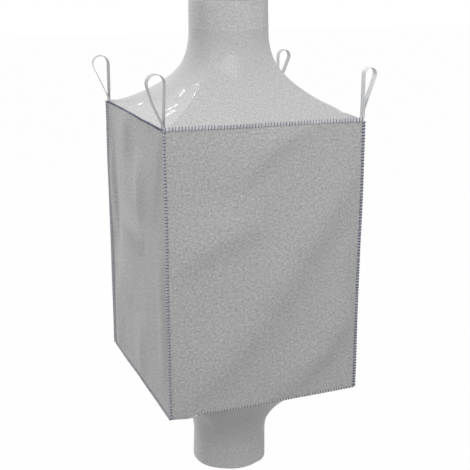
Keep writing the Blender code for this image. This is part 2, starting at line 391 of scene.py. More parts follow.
def cloth_mesh(name, points, flat, ring=False):
    """A sheet over rows of points that go up, left to right as seen from outside the bag."""
    rows, columns = points.shape[:2]
    r, c, faces = grid_faces(rows, columns, ring)
    corners = np.stack([flat[r, c], flat[r, c + 1], flat[r + 1, c + 1], flat[r + 1, c]], -2)
    return mesh_from(name, points, faces.tolist(), corners)


def add_piece(name, mesh, finish, nodes=(), thickness=0.0):
    """A piece of the bag, standing for the named solids, which it hides, with its finish."""
    mesh.materials.append(finish)
    made = bpy.data.objects.new(name, mesh)
    bpy.context.scene.collection.objects.link(made)
    if thickness:
        body = made.modifiers.new("thickness", "SOLIDIFY")
        body.thickness = thickness
        body.offset = -1
    made.modifiers.new("even_shading", "WEIGHTED_NORMAL")
    if nodes:
        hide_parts(*nodes)
    return made


print("cloth is", CLOTH_THICKNESS * 1000, "mm thick")

# %% [markdown]
# Hanging cloth is never flat. It could be sculpted by hand, but then nothing could be changed later.
# Here every swelling and fold is a height in metres, worked out for each point, and one helper pushes
# the points out by it. Smooth noise on a grid of random numbers gives the small unevenness, and a bell
# curve a single soft bump.

# %% Moving cloth
NOISE_CELLS = 64


def push(points, relief, ring=False):
    """Move a sheet's points along its normals, which face out of the bag, by relief in metres."""
    if ring:
        across = np.roll(points, -1, axis=1) - np.roll(points, 1, axis=1)
    else:
        across = np.gradient(points, axis=1)
    normal = np.cross(across, np.gradient(points, axis=0))
    normal /= np.linalg.norm(normal, axis=2, keepdims=True)
    return points + normal * relief[..., None]


def smooth_step(x):
    """From 0 to 1, with soft ends."""
    x = np.clip(x, 0, 1)
    return x * x * (3 - 2 * x)


def bell(x, height, place, width):
    return height * np.exp(-((x - place) / width) ** 2)


def soft_noise(x, y, cell, seed):
    """Smooth random hills and hollows from -1 to 1, about one to a cell."""
    table = np.random.default_rng(seed).uniform(-1, 1, (NOISE_CELLS, NOISE_CELLS))
    column, row = np.floor(x / cell).astype(int), np.floor(y / cell).astype(int)
    s, t = smooth_step(x / cell - column), smooth_step(y / cell - row)

    def pick(right, up):
        return table[(row + up) % NOISE_CELLS, (column + right) % NOISE_CELLS]

    low = pick(0, 0) * (1 - s) + pick(1, 0) * s
    high = pick(0, 1) * (1 - s) + pick(1, 1) * s
    return low * (1 - t) + high * t


print("noise repeats after", NOISE_CELLS, "cells")

# %% [markdown]
# Sewn edges are never quite straight. Each of the twelve edges of the body is one gently wavy line, and
# every cloth that meets there takes its border from that same line, so nothing gapes. Straight borders,
# waved later piece by piece, would part. Four corners hang slightly out of place, as they do in the
# picture, and the front hem sags beside its left corner.

# %% Corners and edges of the body
SIGN = {"left": -1, "right": 1, "front": -1, "back": 1, "bottom": 0, "top": 1}
CORNER_SHIFT = {
    ("top", "front", "left"): (-0.001, 0, 0.007),
    ("top", "front", "right"): (-0.002, 0, -0.009),
    ("bottom", "front", "left"): (0.003, 0, -0.002),
    ("bottom", "back", "left"): (-0.004, 0, 0.003),
}
EDGE_WAVE = 0.0016
WAVE_COUNTS = (2, 5)
WAVE_STRETCH = 1.1
FRONT_HEM = (("bottom", "front", "left"), ("bottom", "front", "right"))
HEM_SAG = (-0.008, 0.08, 0.05)
HEM_RISE = (0.006, 0.18, 0.06)


def corner(key):
    level, depth, side = key
    place = np.array([HALF * SIGN[side], HALF * SIGN[depth], BOTTOM + HEIGHT * SIGN[level]])
    return place + CORNER_SHIFT.get(key, (0, 0, 0))


def edge(a, b, shares):
    """Points along the seam between two corners, at shares of its length from the first."""
    if a > b:
        return edge(b, a, 1 - shares)
    line = corner(a) + (corner(b) - corner(a)) * shares[:, None]
    chance = Random(" ".join(a + b))
    loose = np.sin(pi * shares)
    for axis in range(3):
        for waves in WAVE_COUNTS:
            phase = chance.uniform(0, 2 * pi)
            wave = np.sin(waves * pi * shares * WAVE_STRETCH + phase)
            line[:, axis] += EDGE_WAVE * loose * wave / waves * 2
    if (a, b) == FRONT_HEM:
        line[:, 2] += bell(shares, *HEM_SAG) + bell(shares, *HEM_RISE)
    return line


front_drop = corner(("top", "front", "left")) - corner(("top", "front", "right"))
print("front top edge drops", round(front_drop[2] * 1000), "mm to the right")

# %% [markdown]
# A side panel is one cut of cloth sewn in along all four edges. Empty, it still swells a little, and the
# pull of the loops draws long soft creases across it. Each crease is a curved line with a steep flank
# and a gentle one, added to the swelling. Simulated cloth would crease too, but not where the picture
# shows it, so each crease is given a place of its own.

# %% Crease
CREASE_POINTS = 60
CREASE_FADE = 0.8
STEP_REACH = 0.6


def crease(x, z, start, bend, finish, height, steep, gentle):
    """A fold along a curve, with a width for each flank.

    The steep flank is on the left of the way from start to finish, seen from outside.
    """
    s = np.linspace(0, 1, CREASE_POINTS)[:, None]
    line = (1 - s) ** 2 * np.array(start) + 2 * s * (1 - s) * np.array(bend) + s ** 2 * np.array(finish)
    heading = np.gradient(line, axis=0)
    away = np.stack([x, z], -1)[..., None, :] - line
    near = np.argmin((away ** 2).sum(-1), axis=-1)
    offset = np.take_along_axis(away, near[..., None, None], axis=-2)[..., 0, :]
    way = heading[near]
    length = np.linalg.norm(way, axis=-1)
    ahead = (offset * way).sum(-1) / length ** 2
    aside = (way[..., 0] * offset[..., 1] - way[..., 1] * offset[..., 0]) / length
    share = np.clip((near + np.clip(ahead, -STEP_REACH, STEP_REACH)) / (CREASE_POINTS - 1), 0, 1)
    width = np.where(aside > 0, steep, gentle)
    return height * np.sin(pi * share) ** CREASE_FADE * np.exp(-((aside / width) ** 2))


print("a crease follows", CREASE_POINTS, "points")

# %% [markdown]
# Besides its creases, a panel has a broad swelling, some slack that hangs in soft uprights, and fine
# puckers beside its seams, where the thread draws the cloth in. A displacement texture could hold them
# all, but each is easier to set as a term of one sum. The sum is nothing at the border itself, because
# the seam holds the cloth there.

# %% Relief of a panel
PANEL_SWELL = 0.010
NOISE_START = (7, 9)
BROAD_SLACK, BROAD_CELL = 0.0015, 0.24
FINE_SLACK, FINE_CELL = 0.0008, 0.07
HANGING_CELL, HANGING_STRETCH = 0.06, 0.2
TAUT_BORDER = 0.05
PUCKER, PUCKER_PITCH = 0.0011, 0.040
PUCKER_WANDER, PUCKER_CELL, PUCKER_START = 3, 0.1, 3
PUCKER_REACH, PUCKER_ROOT = 0.028, 0.006


def panel_relief(u, v, creases, hanging, seed):
    """How far a panel stands out, over shares u and v of its width and height."""
    x, z = (2 * u - 1) * HALF, (v - 1) * HEIGHT
    across, up = x + NOISE_START[0], z + NOISE_START[1]
    swell = PANEL_SWELL * np.sin(pi * u) * np.sin(pi * v)
    slack = BROAD_SLACK * soft_noise(across, up, BROAD_CELL, seed)
    slack = slack + FINE_SLACK * soft_noise(across, up, FINE_CELL, seed + 1)
    stretched = HANGING_STRETCH * z + NOISE_START[1]
    slack = slack + hanging * soft_noise(across, stretched, HANGING_CELL, seed + 3)
    for line in creases:
        slack = slack + crease(x, z, *line)
    border = np.minimum(np.minimum(u, 1 - u) * 2 * HALF, np.minimum(v, 1 - v) * HEIGHT)
    wander = PUCKER_WANDER * soft_noise(x + PUCKER_START, z + PUCKER_START, PUCKER_CELL, seed + 2)
    ripples = np.sin(2 * pi * (x + z) / PUCKER_PITCH + wander)
    puckers = PUCKER * ripples * np.exp(-border / PUCKER_REACH) * (1 - np.exp(-border / PUCKER_ROOT))
    return swell + slack * (1 - np.exp(-border / TAUT_BORDER)) + puckers


print("a panel swells", PANEL_SWELL * 1000, "mm")

# %% [markdown]
# The creases follow the picture for the front and the left, and are made up in the same manner for the
# sides that it doesn't show. In front, long creases run from the upper right to the lower left. On the
# left the folds hang nearly upright. A painted height map could hold them too, but a list of curves can
# be changed one fold at a time.

# %% Creases of the panels
# Start, bend and finish, from the middle of the panel's top edge, then height, steep and gentle flank.
CREASES = {
    "front": [
        ((0.32, 0.05), (0.02, 0.00), (-0.18, -0.30), 0.017, 0.06, 0.12),
        ((0.52, -0.10), (0.25, -0.42), (0.00, -0.82), 0.022, 0.09, 0.12),
        ((0.15, -0.60), (-0.10, -0.95), (-0.40, -1.25), 0.020, 0.09, 0.15),
        ((0.00, -0.39), (-0.20, -0.45), (-0.52, -0.62), 0.018, 0.07, 0.12),
        ((0.54, -0.75), (0.36, -0.98), (0.02, -1.30), 0.022, 0.07, 0.10),
        ((0.52, -0.42), (0.36, -0.68), (0.32, -1.00), 0.014, 0.09, 0.10),
    ],
    "left": [
        ((-0.10, 0.10), (-0.11, 0.00), (-0.12, -0.22), 0.018, 0.05, 0.12),
        ((0.13, -0.14), (0.10, -0.28), (0.08, -0.46), 0.015, 0.08, 0.08),
        ((0.40, 0.05), (0.36, -0.22), (0.28, -0.40), 0.008, 0.04, 0.12),
        ((0.16, -0.55), (-0.05, -0.54), (-0.28, -0.50), 0.015, 0.07, 0.06),
        ((-0.46, -0.92), (-0.30, -0.45), (-0.42, 0.08), -0.016, 0.05, 0.12),
        ((-0.42, -0.18), (-0.38, -0.45), (-0.36, -0.66), 0.018, 0.03, 0.10),
        ((-0.10, -0.92), (-0.25, -0.83), (-0.46, -0.74), 0.009, 0.05, 0.06),
        ((-0.38, -0.84), (-0.38, -1.05), (-0.36, -1.34), 0.016, 0.08, 0.03),
        ((0.03, -0.92), (0.03, -1.10), (0.00, -1.34), 0.010, 0.07, 0.08),
        ((0.34, -0.45), (0.46, -0.80), (0.36, -1.20), 0.014, 0.07, 0.08),
    ],
    "right": [
        ((-0.40, -0.10), (-0.12, -0.34), (0.04, -0.80), 0.010, 0.060, 0.14),
        ((0.30, -0.04), (0.24, -0.40), (0.34, -1.00), 0.007, 0.045, 0.10),
        ((0.20, -0.62), (-0.10, -0.90), (-0.42, -1.05), 0.010, 0.055, 0.13),
    ],
    "back": [
        ((0.42, -0.12), (0.10, -0.34), (-0.16, -0.86), 0.012, 0.065, 0.15),
        ((-0.10, -0.02), (-0.18, -0.40), (-0.36, -0.66), 0.009, 0.055, 0.12),
        ((0.40, -0.70), (0.24, -0.96), (-0.08, -1.22), 0.010, 0.055, 0.13),
    ],
}
HANGING_FOLDS = {"front": 0.0002, "left": 0.0014, "right": 0.0020, "back": 0.0010}
print("creases:", {side: len(lines) for side, lines in CREASES.items()})

# %% [markdown]
# The four panels share one recipe. A sheet is stretched between the four edge lines of a side, like
# cloth in a frame, and then pushed out by its relief. A plain flat grid would be simpler, but its border
# would miss the wavy seams.

# %% Make the four panels
NEIGHBOURS = {
    "front": ("left", "right"),
    "right": ("front", "back"),
    "back": ("right", "left"),
    "left": ("back", "front"),
}
CELL = 0.0105
SEED_STEP = 10


def panel_corner(side, level, hand):
    """The key of a panel's corner; hand is 0 for its left and 1 for its right, seen from outside."""
    other = NEIGHBOURS[side][hand]
    depth, flank = (side, other) if side in ("front", "back") else (other, side)
    return level, depth, flank


def panel_points(side, u, v):
    """A sheet stretched between the four edges of one side."""
    low_left, low_right = panel_corner(side, "bottom", 0), panel_corner(side, "bottom", 1)
    top_left, top_right = panel_corner(side, "top", 0), panel_corner(side, "top", 1)
    low, high = edge(low_left, low_right, u)[None], edge(top_left, top_right, u)[None]
    left, right = edge(low_left, top_left, v)[:, None], edge(low_right, top_right, v)[:, None]
    s, t = u[None, :, None], v[:, None, None]
    level = low * (1 - t) + high * t
    upright = left * (1 - s) + right * s
    bottom_line = corner(low_left) * (1 - s) + corner(low_right) * s
    top_line = corner(top_left) * (1 - s) + corner(top_right) * s
    return level + upright - (bottom_line * (1 - t) + top_line * t)


PANELS = {}
u, v = np.linspace(0, 1, round(2 * HALF / CELL) + 1), np.linspace(0, 1, round(HEIGHT / CELL) + 1)
uu, vv = np.meshgrid(u, v)
flat = np.stack([uu * 2 * HALF, vv * HEIGHT], -1)
for number, side in enumerate(CREASES):
    relief = panel_relief(uu, vv, CREASES[side], HANGING_FOLDS[side], SEED_STEP * number)
    mesh = cloth_mesh(f"{side}_cloth", push(panel_points(side, u, v), relief), flat)
    made = add_piece(f"{side}_cloth", mesh, PANEL_CLOTH, [f"{side}_panel"], CLOTH_THICKNESS)
    PANELS[side] = made
    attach(PANELS[side], "bag")
print("panels:", {side: len(o.data.polygons) for side, o in PANELS.items()})

# %% [markdown]
# The top is one coated cloth, gathered from the square edge to the round neck: it leaves the edge almost
# level and turns up steeply into the spout. It is lofted as rings that change from square to round,
# because a stretched square sheet would bunch up at the neck. The bottom is the same cloth the other
# way up.

# %% Rings of a cone
CONE_SPREAD, CONE_RISE = 1.4, 2.2
AROUND = 480
CONE_ROWS = 90
RING_SIDES = ("right", "back", "left", "front")


def square_ring(level):
    """Points round the top or bottom edge of the body, at even angles, from the middle of the right side."""
    angles = 2 * pi * np.arange(AROUND) / AROUND
    ring = np.empty((AROUND, 3))
    turned = (angles + pi / 4) % (2 * pi)
    for number, side in enumerate(RING_SIDES):
        on_side = (turned // (pi / 2)).astype(int) == number
        slant = np.tan(turned[on_side] % (pi / 2) - pi / 4)
        shares = (slant + 1) / 2
        ring[on_side] = edge(panel_corner(side, level, 0), panel_corner(side, level, 1), shares)
    return angles, ring


def round_ring(radius, z, angles):
    return np.stack([radius * np.cos(angles), radius * np.sin(angles), 0 * angles + z], -1)


def cone_points(level, neck_z):
    """Rings of the cone, from its lowest, with each point's angle and its share of the way to the neck."""
    angles, edge_ring = square_ring(level)
    sweep = np.linspace(0, pi / 2, CONE_ROWS)[:, None, None]
    along = np.sin(sweep) ** (2 / CONE_SPREAD)
    below = np.clip(np.cos(sweep), 0, 1)[..., 0] ** (2 / CONE_RISE)
    points = edge_ring * (1 - along) + round_ring(NECK_RADIUS, neck_z, angles) * along
    points[..., 2] = edge_ring[:, 2] * below + neck_z * (1 - below)
    turns = np.broadcast_to(angles, points.shape[:2])
    share = np.broadcast_to(along[..., 0], points.shape[:2])
    if level == "bottom":
        points, turns, share = points[::-1], turns[::-1], share[::-1]
    return points, turns, share


def cone_flat(points):
    """Flat coordinates of a cone: round its edge and along its slope."""
    step = np.linalg.norm(np.diff(points, axis=0), axis=2)
    slope = np.vstack([np.zeros(points.shape[1]), np.cumsum(step, axis=0)])
    ends = np.linspace(0, 8 * HALF, points.shape[1] + 1)
    wide = np.broadcast_to(ends, (points.shape[0], points.shape[1] + 1))
    return np.stack([wide, np.hstack([slope, slope[:, :1]])], -1)


print("a cone has", CONE_ROWS, "rings of", AROUND, "points")

# %% [markdown]
# A coated top is stiff, so its slack stands in a few short folds, and these catch the light as bright
# glints. Soft pulls run from the corners to the neck, and two broad folds fill out the right side. Noise
# alone would put glints anywhere. The short folds have places of their own instead, worked out from
# where the picture shows the glints.

# %% Make the two cones
# Start, bend and finish in plan, from the bag's middle, then height and the widths of both flanks.
CONE_FOLDS = {
    "top": [
        ((-0.300, -0.200), (-0.340, -0.195), (-0.390, -0.185), 0.006, 0.016, 0.020),
        ((-0.320, -0.245), (-0.355, -0.240), (-0.400, -0.230), 0.005, 0.016, 0.020),
        ((-0.250, -0.125), (-0.275, -0.135), (-0.305, -0.150), 0.0045, 0.016, 0.020),
        ((-0.350, 0.125), (-0.380, 0.135), (-0.420, 0.145), 0.0055, 0.016, 0.020),
        ((0.385, -0.420), (0.400, -0.040), (0.370, 0.330), 0.015, 0.060, 0.050),
        ((0.150, -0.110), (0.300, -0.280), (0.430, -0.330), 0.011, 0.070, 0.070),
    ],
    "bottom": [],
}
CORNER_PULL = 0.0040
GATHER, GATHERS_ROUND, GATHER_LENGTH = 0.0016, 9, 0.6
CORNER_REACH = 0.5
CRINKLE, CRINKLE_CELL, CRINKLE_START = 0.0004, 0.050, 9
FINE_CRINKLE, FINE_CRINKLE_CELL, FINE_CRINKLE_START = 0.0001, 0.020, 5
SLACK_PLACE, SLACK_SIZE = (-0.34, -0.15), (0.14, 0.34)
TAUT_SHARE = 0.03


def cone_relief(angles, along, points, folds, seed):
    """Pulls and gathers from the corners to the neck, crinkles where the cloth is slack, and folds."""
    x, y = points[..., 0], points[..., 1]
    midway = np.sin(pi * along)
    pulls = CORNER_PULL * np.cos(4 * angles + pi) * midway ** 2
    gathers = GATHER * soft_noise(angles * GATHERS_ROUND, along * GATHER_LENGTH, 1.0, seed) * midway
    slant = np.sin(2 * angles)
    corner_near = np.exp(-((slant - np.sign(slant)) / CORNER_REACH) ** 2)
    crinkle = 1 - 2 * np.abs(soft_noise(x + CRINKLE_START, y + CRINKLE_START, CRINKLE_CELL, seed + 1))
    fine = soft_noise(x + FINE_CRINKLE_START, y + FINE_CRINKLE_START, FINE_CRINKLE_CELL, seed + 2)
    from_slack = ((x - SLACK_PLACE[0]) / SLACK_SIZE[0]) ** 2 + ((y - SLACK_PLACE[1]) / SLACK_SIZE[1]) ** 2
    crinkles = np.exp(-from_slack) * (CRINKLE * crinkle + FINE_CRINKLE * fine)
    relief = pulls + gathers * corner_near + crinkles
    for line in folds:
        relief = relief + crease(x, y, *line)
    return relief * (1 - np.exp(-along / TAUT_SHARE))


CONES = {}
for level, neck_z, seed in (("top", NECK_TOP, 80), ("bottom", NECK_BOTTOM, 60)):
    points, turns, share = cone_points(level, neck_z)
    points = push(points, cone_relief(turns, share, points, CONE_FOLDS[level], seed), ring=True)
    name = f"{level}_cone_cloth"
    mesh = cloth_mesh(name, points, cone_flat(points), ring=True)
    made = add_piece(name, mesh, COATED_CLOTH, [f"{level}_cone"], CLOTH_THICKNESS)
    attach(made, "bag")
    CONES[level] = made
print("cones:", {level: len(o.data.polygons) for level, o in CONES.items()})

# %% [markdown]
# A spout is a plain tube of lighter cloth. Its lower end is lapped into the neck, and its rim is folded
# in and hemmed, so the rim shows two layers. The tube narrows by a millimetre or two towards the rim:
# when it is pushed into the bag it turns inside out like a sleeve, and the turned part fits inside the
# rest. A true cylinder would look like a pipe, so the tube is a little oval, wavy and dented.

# %% Spouts
LAP, LAP_ROWS, LAP_END = 0.020, 7, -0.001
NECK_ROWS = (0.0, 0.0005)
TUBE_START, TUBE_END, TUBE_ROWS = 0.003, 0.0012, 36
RIM_TURN = ((0.0003, 0.0008), (0.0, 0.0018), (0.0003, 0.0028))
HEM, HEM_ROWS, HEM_START, HEM_INSET = 0.022, 6, 0.003, 0.0034
SPOUT_TAPER = 0.0015
SPOUT_AROUND = 160
SPOUT_ANGLES = 2 * pi * np.arange(SPOUT_AROUND) / SPOUT_AROUND
OVAL, THREE_SIDED, RIPPLE, RIPPLE_TWIST = 0.0035, 0.0020, 0.0012, 9
LOOSENING = 1.5
DENT = (0.0045, radians(298), 0.15)


def spout_profile(length):
    """Distance from the neck and radius of each row: up the tube, over the rim and down inside the hem."""
    tube = np.linspace(TUBE_START, length - TUBE_END, TUBE_ROWS)
    rise = np.concatenate([np.linspace(-LAP, LAP_END, LAP_ROWS), NECK_ROWS, tube])
    radius = np.where(rise < 0, SPOUT_RADIUS, NECK_RADIUS) - SPOUT_TAPER * np.clip(rise / length, 0, 1)
    drop, inset = np.array(RIM_TURN).T
    inside = np.linspace(length - HEM_START, length - HEM, HEM_ROWS)
    rim_radius = radius[-1]
    radius = np.concatenate([radius, rim_radius - inset, np.full(HEM_ROWS, rim_radius - HEM_INSET)])
    return np.concatenate([rise, length - drop, inside]), radius


def spout_points(neck_z, rim_z, seed):
    """Rings of a tube from inside the neck to the end of the hem, and its flat coordinates."""
    out = 1 if rim_z > neck_z else -1
    length = abs(rim_z - neck_z)
    rise, radius = spout_profile(length)
    a, h = np.meshgrid(SPOUT_ANGLES, rise)
    loose = np.clip((h + LAP) / length, 0, 1) ** LOOSENING
    wobble = OVAL * np.sin(2 * a + seed) + THREE_SIDED * np.sin(3 * a + 2 * seed)
    wobble = wobble + RIPPLE * np.sin(7 * a + h * RIPPLE_TWIST)
    r = radius[:, None] + loose * (wobble - bell(a, *DENT)) * np.where(h < 0, 0, 1)
    points = np.stack([r * np.cos(a), r * np.sin(a), neck_z + out * h], -1)
    slope = np.concatenate([[0], np.cumsum(np.hypot(np.diff(radius), np.diff(rise)))])
    wide = np.linspace(0, 2 * pi * SPOUT_RADIUS, SPOUT_AROUND + 1)
    flat = np.stack(np.meshgrid(wide, slope), -1)
    if out < 0:
        return points[::-1], flat[::-1]
    return points, flat


SPOUT_ENDS = (("filling", NECK_TOP, RIM_TOP, 0.6), ("discharge", NECK_BOTTOM, RIM_BOTTOM, 2.1))
for name, neck_z, rim_z, seed in SPOUT_ENDS:
    points, flat = spout_points(neck_z, rim_z, seed)
    mesh = cloth_mesh(f"{name}_tube", points, flat, ring=True)
    made = add_piece(f"{name}_tube", mesh, SPOUT_CLOTH, [f"{name}_spout"], CLOTH_THICKNESS)
    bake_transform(made)

# %% [markdown]
# Bands, sewn edges, thread and straps are all long thin things: an outline carried along a path. A curve
# with a bevel would do that, but it can't easily turn its outline to suit the cloth beside it. Here each
# ring of points is placed by its own two directions, and the rings are joined into closed bars.

# %% Swept shapes
def swept_mesh(name, rings, flat):
    """Closed bars from rings of points: rings is bars x rings x points x 3, flat has one point more."""
    bars, count, around = rings.shape[:3]
    r, c, faces = grid_faces(count, around, True)
    ends = np.array([np.arange(around)[::-1], np.arange(around) + (count - 1) * around])
    sides = np.stack([flat[:, r, c], flat[:, r, c + 1], flat[:, r + 1, c + 1], flat[:, r + 1, c]], -2)
    all_faces, all_corners = [], []
    for bar in range(bars):
        start = bar * count * around
        all_faces += (faces + start).tolist() + (ends + start).tolist()
        all_corners += [sides[bar].reshape(-1, 2), flat[bar, 0, around - 1::-1], flat[bar, -1, :around]]
    return mesh_from(name, rings, all_faces, np.concatenate(all_corners))


def sweep_outline(centre, side, face, outline):
    """Rings of an outline, given along side and face, at each point of a path."""
    a, b = outline.T
    return centre[..., None, :] + side[..., None, :] * a[:, None] + face[..., None, :] * b[:, None]


def path_flat(centre, outline):
    """Flat coordinates of a swept bar: round its outline and along its path."""
    closed = np.vstack([outline, outline[:1]])
    round_it = np.concatenate([[0], np.cumsum(np.linalg.norm(np.diff(closed, axis=0), axis=1))])
    steps = np.linalg.norm(np.diff(centre, axis=-2), axis=-1)
    along = np.concatenate([np.zeros(steps.shape[:-1] + (1,)), np.cumsum(steps, axis=-1)], -1)
    wide = np.broadcast_to(round_it, along.shape + round_it.shape)
    return np.stack([wide, np.broadcast_to(along[..., None], wide.shape)], -1)


def unit(vectors):
    return vectors / np.linalg.norm(vectors, axis=-1, keepdims=True)


print("sweeping helpers ready")

# %% [markdown]
# Where a spout is sewn into its neck, the cloth edges are folded under into a narrow band. A round ring
# would read as a hoop of wire, so the band is swept from a flat outline, and its edges sink into the
# cloth above and below it.

# %% Neck bands
# Reach from the neck and rise above it, round the outline.
BAND_OUTLINE = np.array([
    (-0.0006, -0.006), (0.0001, -0.002), (0.0002, 0.003), (0.0, 0.008), (-0.0004, 0.016),
    (-0.0020, 0.016), (-0.0020, -0.006),
])


def band_rings(neck_z, out):
    """The band's outline at each angle, closed round the neck."""
    rows = [round_ring(NECK_RADIUS + reach, neck_z + out * rise, SPOUT_ANGLES)
            for reach, rise in BAND_OUTLINE]
    points = np.array(rows)
    rings = np.swapaxes(points if out < 0 else points[::-1], 0, 1)
    return np.concatenate([rings, rings[:1]])[None]


for name, neck_z, out in (("filling", NECK_TOP, 1), ("discharge", NECK_BOTTOM, -1)):
    rings = band_rings(neck_z, out)
    mesh = swept_mesh(f"{name}_neck_band", rings, path_flat(rings[:, :, 0], BAND_OUTLINE))
    made = add_piece(f"{name}_neck_band", mesh, SPOUT_CLOTH, [f"{name}_neck_seam"])
    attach(made, "bag")
print("neck bands", round(np.ptp(BAND_OUTLINE[:, 1]) * 1000), "mm wide")

# %% [markdown]
# On such a bag the cloth edges are turned outward, laid together and bound with an overlock stitch, so
# every edge carries a narrow fin. A straight strip would stand off the cloth, so the fin follows the
# same wavy edge line that the cloths share. Fins differ in width, lean and thread, as the picture shows
# them, and the right one at the top stops short of its corners, to leave room for the straps.

# %% Looks of the seams
FIN_END = 0.002
FIN_ENDS = {"top_seam_left": 0.001, "top_seam_right": 0.052}
# Width of the fin as a multiple, its lean in radians, and thickness of the thread as a multiple.
USUAL_SEAM = (1.0, 0.0, 1.2)
SEAM_LOOKS = {
    "top_seam_front": (1.3, -0.7, 1.0),
    "top_seam_left": (0.35, 0.0, 2.4),
    "top_seam_right": (0.15, 2.2, 0.5),
    "top_seam_back": (0.5, 1.6, 1.0),
    "corner_seam_front_left": (1.0, 0.0, 1.3),
    "corner_seam_front_right": (0.75, 0.0, 2.3),
    "corner_seam_back_left": (1.2, 0.0, 0.9),
    "bottom_seam_front": (0.8, 0.6, 1.2),
    "bottom_seam_left": (0.6, 0.0, 1.5),
}


def seam_keys():
    """Each seam's name, its two corners, and the way its fin stands."""
    for depth in ("front", "back"):
        for side in ("left", "right"):
            ends = ("bottom", depth, side), ("top", depth, side)
            yield f"corner_seam_{depth}_{side}", *ends, (SIGN[side], SIGN[depth], 0)
    for level, rise in (("top", 1), ("bottom", -1)):
        for side in NEIGHBOURS:
            ends = panel_corner(side, level, 0), panel_corner(side, level, 1)
            flank = (0, SIGN[side]) if side in ("front", "back") else (SIGN[side], 0)
            yield f"{level}_seam_{side}", *ends, (*flank, rise)


print("seams:", len(list(seam_keys())))

# %% [markdown]
# A fin and its stitches both have to know, at any distance along the seam, where the edge is and which
# way the fin stands. Working that out twice would let them drift apart, so one small class answers for
# both. The fin rolls a little as it goes and turns towards the corners at its ends. Beside the front
# left corner the sagging hem turns it under, and no stitches show there.

# %% Seam lines
FINE_STEPS = 400
LOOK_AHEAD = 0.004
CORNER_TURN = 0.035
SQUARENESS = 0.6
FIN_ROLLS = ((0.14, 7), (0.08, 23))
BARE_HEM = 0.12
TUCK_TURN, TUCK_START, TUCK_LENGTH = 1.15, 0.06, 0.09
LEAN_START, LEAN_LENGTH = 0.1, 0.1


def corner_direction(key):
    """The way out of a corner of the body, at the same slant to its three sides."""
    level, depth, side = key
    return np.array([SIGN[side], SIGN[depth], 2 * SIGN[level] - 1]) / 3 ** 0.5


class SeamLine:
    """A seam's edge line, sampled by distance, with the way its fin stands at each point."""

    def __init__(self, name, a, b, outward):
        self.points = edge(a, b, np.linspace(0, 1, FINE_STEPS))
        steps = np.linalg.norm(np.diff(self.points, axis=0), axis=1)
        self.reach = np.concatenate([[0], np.cumsum(steps)])
        self.start = FIN_ENDS.get(name, FIN_END)
        self.end = self.reach[-1] - self.start
        self.outward = unit(np.array(outward))
        self.tips = [corner_direction(key) for key in (a, b)]
        self.width, self.lean, self.thread = SEAM_LOOKS.get(name, USUAL_SEAM)
        chance = Random(name)
        self.phases = [chance.uniform(0, 2 * pi) for roll in FIN_ROLLS]
        self.tucked = name == "bottom_seam_front"
        self.bare = BARE_HEM if self.tucked else 0.0

    def place(self, s):
        return np.stack([np.interp(s, self.reach, self.points[:, axis]) for axis in range(3)], -1)

    def roll(self, s):
        """How far the fin leans from its own direction, in radians."""
        share = s / self.reach[-1]
        lean = self.lean
        for (size, waves), phase in zip(FIN_ROLLS, self.phases):
            lean = lean + size * np.sin(waves * share + phase)
        if self.tucked:
            tuck = TUCK_TURN * (1 - smooth_step((share - TUCK_START) / TUCK_LENGTH))
            lean = lean * smooth_step((share - LEAN_START) / LEAN_LENGTH) - tuck
        return lean

    def frame(self, s):
        """Place, way along, way out and way across the fin, at distances s."""
        along = unit(self.place(s + LOOK_AHEAD) - self.place(s - LOOK_AHEAD))
        first = 1 - smooth_step(s / CORNER_TURN)[..., None]
        last = 1 - smooth_step((self.reach[-1] - s) / CORNER_TURN)[..., None]
        out = self.outward * (1 - first - last) + self.tips[0] * first + self.tips[1] * last
        out = unit(out - SQUARENESS * along * (along * out).sum(-1, keepdims=True))
        face = np.cross(along, out)
        lean = self.roll(s)[..., None]
        leaning_out = out * np.cos(lean) + face * np.sin(lean)
        leaning_face = face * np.cos(lean) - out * np.sin(lean)
        return self.place(s), along, leaning_out, leaning_face


SEAMS = {name: SeamLine(name, a, b, outward) for name, a, b, outward in seam_keys()}
print("seam length", round(sum(seam.end - seam.start for seam in SEAMS.values()), 2), "m")

# %% [markdown]
# The fin's cloth is thin and slightly fat at its root, where the layers meet. Its free edge bulges about
# once to each stitch, because the thread pulls it in. A straight strip with drawn stitches would look
# printed. The top fins are painted palest and the corner fins a shade darker, as painted light, and the
# bottom fins are like the panels.

# %% Seam fins
FIN_WIDTH = 0.0104
FIN_STEP = 0.005
STITCH_PITCH = 0.0137
STITCH_PULL = 0.0007
# Distance out from the edge line and half thickness, from root to free edge.
FIN_SIDE = np.array([(-0.004, 0.0014), (0.001, 0.0016), (0.006, 0.0014), (0.0092, 0.0012), (0.0103, 0.0006)])
FIN_OUTLINE = np.vstack([FIN_SIDE * (1, -1), FIN_SIDE[::-1]])
# Painted light: the top fins get the palest cloth and the corner fins a lighter one than the panels.
FIN_CLOTH = {"top": PAINTED_LIGHT_TOP_EDGE, "corner": PAINTED_LIGHT_EDGE, "bottom": PANEL_CLOTH}


def fin_rings(seam):
    s = np.linspace(seam.start, seam.end, round((seam.end - seam.start) / FIN_STEP) + 1)
    place, along, out, face = seam.frame(s)
    outline = FIN_OUTLINE * np.where(FIN_OUTLINE[:, :1] > 0, (seam.width, 1), 1)
    rings = sweep_outline(place, out, face, outline)
    pull = STITCH_PULL * np.cos(2 * pi * (s - seam.start) / STITCH_PITCH)
    free = np.clip(FIN_OUTLINE[:, 0] / FIN_WIDTH, 0, 1) ** 2
    rings = rings + out[:, None] * (pull[:, None] * free)[..., None]
    return rings[None], path_flat(place[None], FIN_OUTLINE)


FINS = {}
for name, seam in SEAMS.items():
    rings, flat = fin_rings(seam)
    cloth = FIN_CLOTH[name.split("_")[0]]
    mesh = swept_mesh(f"{name}_fin", rings, flat)
    FINS[name] = add_piece(f"{name}_fin", mesh, cloth, [name])
    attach(FINS[name], "bag")
print("fins:", len(FINS))
